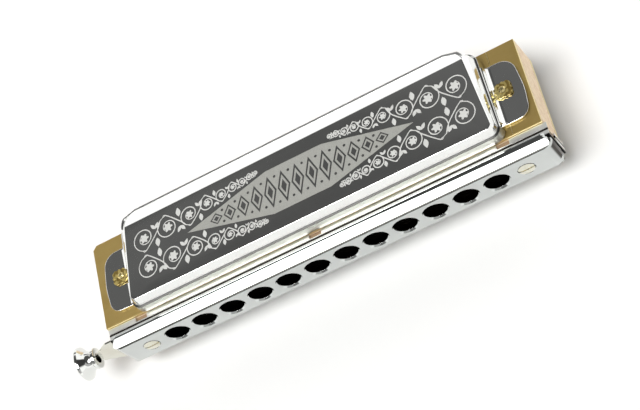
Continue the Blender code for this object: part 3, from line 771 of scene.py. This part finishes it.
def make_cover(name, below, shapes):
    """A cover: its band and lining, the engraved top, the ears and the rolled rear edge."""
    outer = [cover_line(level) for level in COVER_LEVELS]
    inner = [cover_line(level, *inset) for level, inset in zip(COVER_LEVELS, COVER_INSETS)]
    verts, faces, kinds = [], [], []

    def add(points, new_faces, new_kinds=None, flip=False):
        start = len(verts)
        verts.extend(tuple(p) for p in points)
        faces.extend([start + i for i in face][::-1 if flip else 1] for face in new_faces)
        kinds.extend(new_kinds or [0] * len(new_faces))

    def add_solid(points, new_faces, kind=0):
        add(points, outward(points, new_faces), [kind] * len(new_faces))

    columns = []
    for points in zip(*outer):
        share = end_share(points[4])
        columns.append(fillet_path(points, [radius + more * share for radius, more in OUTER_RADII], 5))
    width = len(columns[0])
    add([p for column in columns for p in column], grid_faces(len(columns), width))
    lined = [fillet_path(points, INNER_RADII, 3) for points in zip(*inner)]
    add([p for column in lined for p in column], grid_faces(len(lined), len(lined[0])), flip=True)
    feet = [column[0] for column in columns] + [column[0] for column in lined]
    add(feet, grid_faces(2, len(columns)), flip=True)
    for end in (0, -1):
        rim, lining = columns[end], lined[end]
        add(rim + lining[::-1], [list(range(len(rim) + len(lining)))], flip=end == 0)

    ring = [column[-1] for column in columns]
    rear = [Vector((p.x, REAR_Y, 0)) for p in (columns[-1][-1], columns[0][-1])]
    outline = [(p.x, p.y) for p in ring + rear]
    rows = []
    corner = len(CORNER_ANGLES)
    for right, left in zip(ring[:corner], ring[::-1][:corner]):
        if abs(right.y - REAR_BEND) < BEND_HALF + 0.05:
            rows.append(((left.x, left.y), (right.x, right.y)))
    for y in (*CROWN_ROWS, REAR_BEND - BEND_HALF, REAR_BEND, REAR_BEND + BEND_HALF):
        rows.append(((ring[-1].x + 2, y), (ring[0].x - 2, y)))
    flat, triangles, found = layered_region(outline, shapes, rows)
    levels = {None: 0.0, **ENGRAVED}
    index = {None: 0, "ground": 1, "line": 2}
    placed = {}
    top_points, top_faces, top_kinds = [], [], []

    def level_vertex(i, kind):
        if (i, kind) not in placed:
            placed[i, kind] = len(top_points)
            x, y = flat[i]
            top_points.append((x, y, top_height(y, COVER_TOP) - levels[kind]))
        return placed[i, kind]

    borders = {}
    for triangle, kind in zip(triangles, found):
        top_faces.append([level_vertex(i, kind) for i in triangle])
        top_kinds.append(index[kind])
        for a, b in zip(triangle, triangle[1:] + triangle[:1]):
            borders[a, b] = kind
    for (a, b), near in borders.items():
        far = borders.get((b, a), near)
        if a < b and near != far:
            wall = ((b, near), (a, near), (a, far), (b, far))
            top_faces.append([level_vertex(*corner) for corner in wall])
            top_kinds.append(max(index[near], index[far]))
    add(top_points, top_faces, top_kinds)
    ceiling = [column[-1] for column in lined]
    rear = [Vector((p.x, REAR_Y, 0)) for p in (ceiling[-1], ceiling[0])]
    flat, triangles = layered_region([(p.x, p.y) for p in ceiling + rear], [], rows)[:2]
    add([(x, y, top_height(y, COVER_TOP - SHEET)) for x, y in flat], triangles, flip=True)
    for side in (1, -1):
        add_ear(add_solid, side)
    add_hem(add_solid, outer[4])
    finishes = ("cover_steel", "stippled_ground", "frosted_line", "rolled_edge")
    twin = "lower_cover" if below else "upper_cover"
    new_piece(name, verts, faces, finishes, kinds=kinds, below=below, sharp=34, replaces=(twin,))


# x, y and the corner's radius
EAR_OUTLINE = ((56.9, 10.3, 0), (66.2, 10.3, 3.6), (67.1, 19.0, 25), (66.0, 29.5, 4.4), (56.9, 29.5, 0))
EAR_MIDDLE = Vector((60, 20))
EAR_EDGE = 0.16
EAR_FILLET = 1.7
EAR_WALL_X = 58.06
EAR_STATIONS = (10.75, 10.9, 20.0, 28.9, 29.05)
NAIL_HOLE = (61.2, 20.6, 0.8)  # x, y, radius


def welded(points, faces):
    """The same faces with points that coincide made one."""
    where, kept, index = {}, [], []
    for p in points:
        key = tuple(round(c, 4) for c in p)
        if key not in where:
            where[key] = len(kept)
            kept.append(tuple(p))
        index.append(where[key])
    return kept, [[index[i] for i in face] for face in faces]


def add_ear(add_solid, side):
    """The flat ear that the cover is nailed down by, with a rounded edge, and the fillet beside it."""
    low, high = COVER_BOTTOM, COVER_BOTTOM + SHEET
    outline = [Vector(p) for p in rounded(EAR_OUTLINE, 10)]
    rings = [(0.0, low), (0.0, high - EAR_EDGE)]
    for i in range(1, 5):
        angle = math.pi / 2 * i / 4
        rings.append((EAR_EDGE * (1 - math.cos(angle)), high - EAR_EDGE * (1 - math.sin(angle))))
    rings.append((EAR_EDGE + 0.1, high))
    points = []
    for inset, z in rings:
        for p in outline:
            q = p + (EAR_MIDDLE - p).normalized() * inset * 1.2
            points.append((COVER_X + side * q.x, q.y, z))
    faces = grid_faces(len(rings), len(outline), close_columns=True)
    hole = [(COVER_X + side * x, y) for x, y in circle(*NAIL_HOLE, 16)]
    for row, z in ((0, low), (len(rings) - 1, high)):
        edge = [(p[0], p[1]) for p in points[row * len(outline):(row + 1) * len(outline)]]
        flat, triangles, kinds = layered_region(edge, [(hole, "hole")])
        faces += [[len(points) + i for i in t] for t, kind in zip(triangles, kinds) if kind is None]
        points += [(x, y, z) for x, y in flat]
    faces += grid_faces(2, len(hole), close_columns=True, start=len(points))
    points += [(x, y, z) for z in (low, high) for x, y in hole]
    add_solid(*welded(points, faces))

    radius = EAR_FILLET
    back_x = EAR_WALL_X - 0.2
    foot = EAR_WALL_X + 0.2 + radius
    section = [(back_x, high + radius + 0.35), (EAR_WALL_X + 0.12, high + radius + 0.3)]
    for i in range(9):
        angle = math.pi / 2 * i / 8
        section.append((foot - radius * math.cos(angle), high + radius * (1 - math.sin(angle)) + 0.012))
    section += [(foot + 0.25, high + 0.008), (foot + 0.25, high - 0.2), (back_x, high - 0.2)]
    points = []
    for y in EAR_STATIONS:
        shrink = 0.12 if y in (EAR_STATIONS[0], EAR_STATIONS[-1]) else 0.0
        points += [(COVER_X + side * (x - shrink), y, z - shrink) for x, z in section]
    count = len(section)
    last = (len(EAR_STATIONS) - 1) * count
    ends = [list(range(count)), list(range(last, last + count))]
    add_solid(points, grid_faces(len(EAR_STATIONS), count, close_columns=True) + ends)


def add_hem(add_solid, edge):
    """The rear edge, rolled under along its length and tapering away round both corners."""
    middle_y, middle_z, radius = HEM
    sides = 14
    thinnest, growth = HEM_TAPER
    path = []
    for p in edge[3:len(CORNER_ANGLES)]:
        share = min(1, thinnest + (p.y - REAR_CORNER[1]) / growth)
        path.append((p.x, p.y + 0.25, middle_z + 0.1, radius * share))
    path.reverse()
    right = path + [(x, middle_y, middle_z, radius) for x in HEM_X]
    left = [(-x, y, z, r) for x, y, z, r in reversed(right)]
    whole = right + [(0.0, middle_y, middle_z, radius)] + left
    points = []
    last = len(whole) - 1
    for i, (x, y, z, r) in enumerate(whole):
        ahead = Vector(whole[min(i + 1, last)][:2]) - Vector(whole[max(i - 1, 0)][:2])
        out = Vector((-ahead.y, ahead.x)).normalized() * -1
        for k in range(sides):
            angle = 2 * math.pi * k / sides
            dip = radius - r
            across = r * math.cos(angle)
            points.append((x + out.x * across, y + out.y * across, z + dip + r * math.sin(angle)))
    ends = [list(range(sides)), list(range(last * sides, (last + 1) * sides))]
    add_solid(points, grid_faces(len(whole), sides, close_columns=True) + ends, 3)


SHAPES = ornament()
make_cover("upper_cover_shell", False, SHAPES)
make_cover("lower_cover_shell", True, SHAPES)


# ---------------------------------------------------------------- reeds, rivets and valves

REEDS = 24
REED_LENGTH = (9.5, 17.0)
REED_OFFSET = 2.2
REED_WIDTH = 2.0
REED_THICKNESS = 0.16
TIP_LENGTH, TIP_SHARE = 0.6, 0.86  # a reed's narrowed tip
BLOW_FRONT = 11.7  # where a blow reed's free length starts
BLOW_PAD = (9.4, 12.0, 0.55)  # front, back and depth below the plate
BLOW_DROP = 0.17  # from the plate down to a blow reed's far face
DRAW_PAD_TOP = 7.5
RIVET_Y = {"blow": 10.6, "draw": 13.1}
VALVE_WIDTH, VALVE_THICKNESS, VALVE_CURL, VALVE_STEPS = 3.1, 0.09, 0.55, 8
VALVE_PAST, VALVE_LIFT, VALVE_TIP_SHARE = 1.9, 0.03, 0.82
SCRIBE_X, SCRIBE_WIDTH, SCRIBE_THICKNESS = 60.3, 0.16, 0.03
SCRIBE_ENDS = (7.3, 34.6)
# A rivet head's profile: height and radius
RIVET = ((0.0, 0.92), (0.12, 0.9), (0.3, 0.66), (0.38, 0.0))


def reed_length(number):
    short, long = REED_LENGTH
    return short + (long - short) * number / (REEDS - 1)


def dome(x, y, z, sides=14):
    """A low rivet head standing on z."""
    points = [(x, y, z)]
    faces = []
    for lift, radius in RIVET[:-1]:
        start = len(points)
        points += [(px, py, z + lift) for px, py in circle(x, y, radius, sides)]
        if start > 1:
            faces += grid_faces(2, sides, close_columns=True, start=start - sides)
    points.append((x, y, z + RIVET[-1][0]))
    top = len(points) - 1
    for i in range(sides):
        following = (i + 1) % sides
        faces.append([0, 1 + following, 1 + i])
        faces.append([top - sides + i, top - sides + following, top])
    return points, faces


def bar(stations, width, thickness):
    """A flat tongue through stations of (x, y, z of its underside, share of the width)."""
    points = []
    for x, y, z, share in stations:
        half = width * share / 2
        top = z + thickness
        points += [(x - half, y, z), (x + half, y, z), (x + half, y, top), (x - half, y, top)]
    faces = grid_faces(len(stations), 4, close_columns=True)
    last = 4 * (len(stations) - 1)
    return points, faces + [[3, 2, 1, 0], [last, last + 1, last + 2, last + 3]]


def gather(parts):
    """Closed parts put together as one, each turned outwards."""
    points, faces = [], []
    for part_points, part_faces in parts:
        start = len(points)
        turned = outward(part_points, part_faces)
        points += part_points
        faces += [[start + i for i in face] for face in turned]
    return points, faces


def make_reed_fittings(level, below):
    """The blow reeds inside a plate, every reed's rivet, and the valves over the blow slots."""
    reeds, rivets, valves = [], [], []
    front, back, depth = BLOW_PAD
    pad, tongue = PLATE_BOTTOM - depth, PLATE_BOTTOM - BLOW_DROP
    for hole, x in enumerate(HOLE_X):
        blow, draw = x - REED_OFFSET, x + REED_OFFSET
        tip = BLOW_FRONT + reed_length(2 * hole)
        reeds.append(bar(((blow, front, pad, 1), (blow, back, pad, 1)), REED_WIDTH, depth - 0.01))
        stations = [(blow, back - 0.1, tongue, 1), (blow, tip - TIP_LENGTH, tongue, 1)]
        reeds.append(bar(stations + [(blow, tip, tongue, TIP_SHARE)], REED_WIDTH, REED_THICKNESS))
        rivets.append(dome(blow, RIVET_Y["blow"], PLATE_TOP))
        reed = f"{level}_reed_{hole + 1:02d}"
        rivet = gather([dome(draw, RIVET_Y["draw"], DRAW_PAD_TOP)])
        new_piece(f"{reed}_rivet", *rivet, ["nail_brass"], reed, below=below)
        stations = []
        for step in range(VALVE_STEPS + 1):
            share = step / VALVE_STEPS
            y = BLOW_FRONT + (tip + VALVE_PAST - BLOW_FRONT) * share
            z = PLATE_TOP + VALVE_LIFT + VALVE_CURL * (1 - share) ** 2
            stations.append((blow, y, z, 1 if step else VALVE_TIP_SHARE))
        valves.append(bar(stations, VALVE_WIDTH, VALVE_THICKNESS))
    for kind, parts, finish in (
        ("blow_reeds", reeds, "reed_brass"),
        ("blow_rivets", rivets, "nail_brass"),
        ("valves", valves, "valve_film"),
    ):
        new_piece(f"{level}_{kind}", *gather(parts), [finish], below=below)


for level, below in (("upper", False), ("lower", True)):
    make_reed_fittings(level, below)
    stations = [(SCRIBE_X, y, PLATE_TOP - 0.01, 1) for y in SCRIBE_ENDS]
    scribe = gather([bar(stations, SCRIBE_WIDTH, SCRIBE_THICKNESS)])
    new_piece(f"{level}_scribed_line", *scribe, ["nail_brass"], below=below)


# ---------------------------------------------------------------- studio

FLAGS = (
    # each later one over the earlier: turn from the front towards +X, elevation, softness of each, brightness
    ((-95, 95, 15, 42, 12, 3), 0.55),
    ((-88, 14, 53, 78, 8, 3), 9.0),
    ((-150, -100, 46.5, 51, 5, 1.8), 0.12),
    ((-190, -157, 44, 60, 3, 3), 0.125),
    ((-46, -7, 16, 50, 3, 2), 0.25),
    ((74, 113, 16, 54, 4, 3), 0.05),
    ((-112, -72, 16, 46, 4, 3), 0.04),
    ((150, 190, 15, 29, 6, 2), 0.16),
    ((-190, -139, 15, 29, 4, 2), 0.16),
)
SKY_LOW, SKY_HIGH = 1.25, 0.085  # the walls' brightness and the ceiling's
SKY_EDGE = (37.0, 41.5)  # elevations between which the walls give way to the ceiling


def world_light():
    """Soft studio surroundings: white walls, a dark ceiling, and pale and dark flags over them."""
    world = bpy.data.worlds.new("studio")
    bpy.context.scene.world = world
    world.use_nodes = True
    tree = world.node_tree
    nodes, links = tree.nodes, tree.links

    def math_node(operation, *values):
        node = nodes.new("ShaderNodeMath")
        node.operation = operation
        for socket, value in zip(node.inputs, values):
            if isinstance(value, (int, float)):
                socket.default_value = value
            else:
                links.new(value, socket)
        return node.outputs[0]

    def smooth_step(value, low, high):
        node = nodes.new("ShaderNodeMapRange")
        node.interpolation_type = "SMOOTHSTEP"
        node.inputs["From Min"].default_value = low
        node.inputs["From Max"].default_value = high
        links.new(value, node.inputs["Value"])
        return node.outputs["Result"]

    parts = nodes.new("ShaderNodeSeparateXYZ")
    links.new(nodes.new("ShaderNodeTexCoord").outputs["Generated"], parts.inputs[0])
    x, y, z = parts.outputs
    elevation = math_node("DEGREES", math_node("ARCSINE", z))
    turn = math_node("DEGREES", math_node("ARCTAN2", x, math_node("MULTIPLY", y, -1)))

    def window(low_turn, high_turn, low_tilt, high_tilt, soft_turn, soft_tilt):
        """1 inside a stretch of the surroundings, in degrees from straight ahead of the front, and up."""
        inside = smooth_step(turn, low_turn - soft_turn, low_turn + soft_turn)
        for value, limit, soft, sign in (
            (turn, high_turn, soft_turn, -1),
            (elevation, low_tilt, soft_tilt, 1),
            (elevation, high_tilt, soft_tilt, -1),
        ):
            step = smooth_step(value, limit - soft, limit + soft)
            step = step if sign > 0 else math_node("SUBTRACT", 1, step)
            inside = math_node("MULTIPLY", inside, step)
        return inside

    low_light = math_node("SUBTRACT", 1, smooth_step(elevation, *SKY_EDGE))
    level = math_node("ADD", SKY_HIGH, math_node("MULTIPLY", SKY_LOW - SKY_HIGH, low_light))
    for limits, gain in FLAGS:
        mask = window(*limits)
        rest = math_node("MULTIPLY", level, math_node("SUBTRACT", 1, mask))
        level = math_node("ADD", rest, math_node("MULTIPLY", mask, gain))
    background = nodes["Background"]
    background.inputs["Color"].default_value = (1, 1, 0.99, 1)
    links.new(level, background.inputs["Strength"])


FLOOR_HALF = 2.5  # metres


def stage():
    """A floor of plain pale paper."""
    mesh = bpy.data.meshes.new("studio_floor")
    bm = bmesh.new()
    bmesh.ops.create_grid(bm, x_segments=8, y_segments=8, size=FLOOR_HALF)
    bm.to_mesh(mesh)
    bm.free()
    floor = bpy.data.objects.new("studio_floor", mesh)
    bpy.context.scene.collection.objects.link(floor)
    paper = Paint("floor_paper", (0.94, 0.94, 0.935), 0.0, 0.9)
    paper.tint(paper.ranged(paper.noise(6, 3), 0.3, 0.8), (0.93, 0.93, 0.925))
    mesh.materials.append(paper.material)


def camera():
    """A long lens, from the front and above, with the whole harmonica in view."""
    right = Vector((0.85755, -0.21232, -0.46853))
    up = Vector((0.41426, 0.82503, 0.38434))
    back = Vector((0.30495, -0.52368, 0.79546))
    place = Vector((0.14575, -0.25105, 0.39201))
    data = bpy.data.cameras.new("camera")
    data.lens = 96.36
    data.sensor_width = 36
    data.clip_start = 0.01
    made = bpy.data.objects.new("camera", data)
    made.matrix_world = Matrix.Translation(place) @ Matrix((right, up, back)).transposed().to_4x4()
    bpy.context.scene.collection.objects.link(made)
    bpy.context.scene.camera = made


world_light()
stage()
camera()
bpy.context.scene.view_settings.view_transform = "Standard"
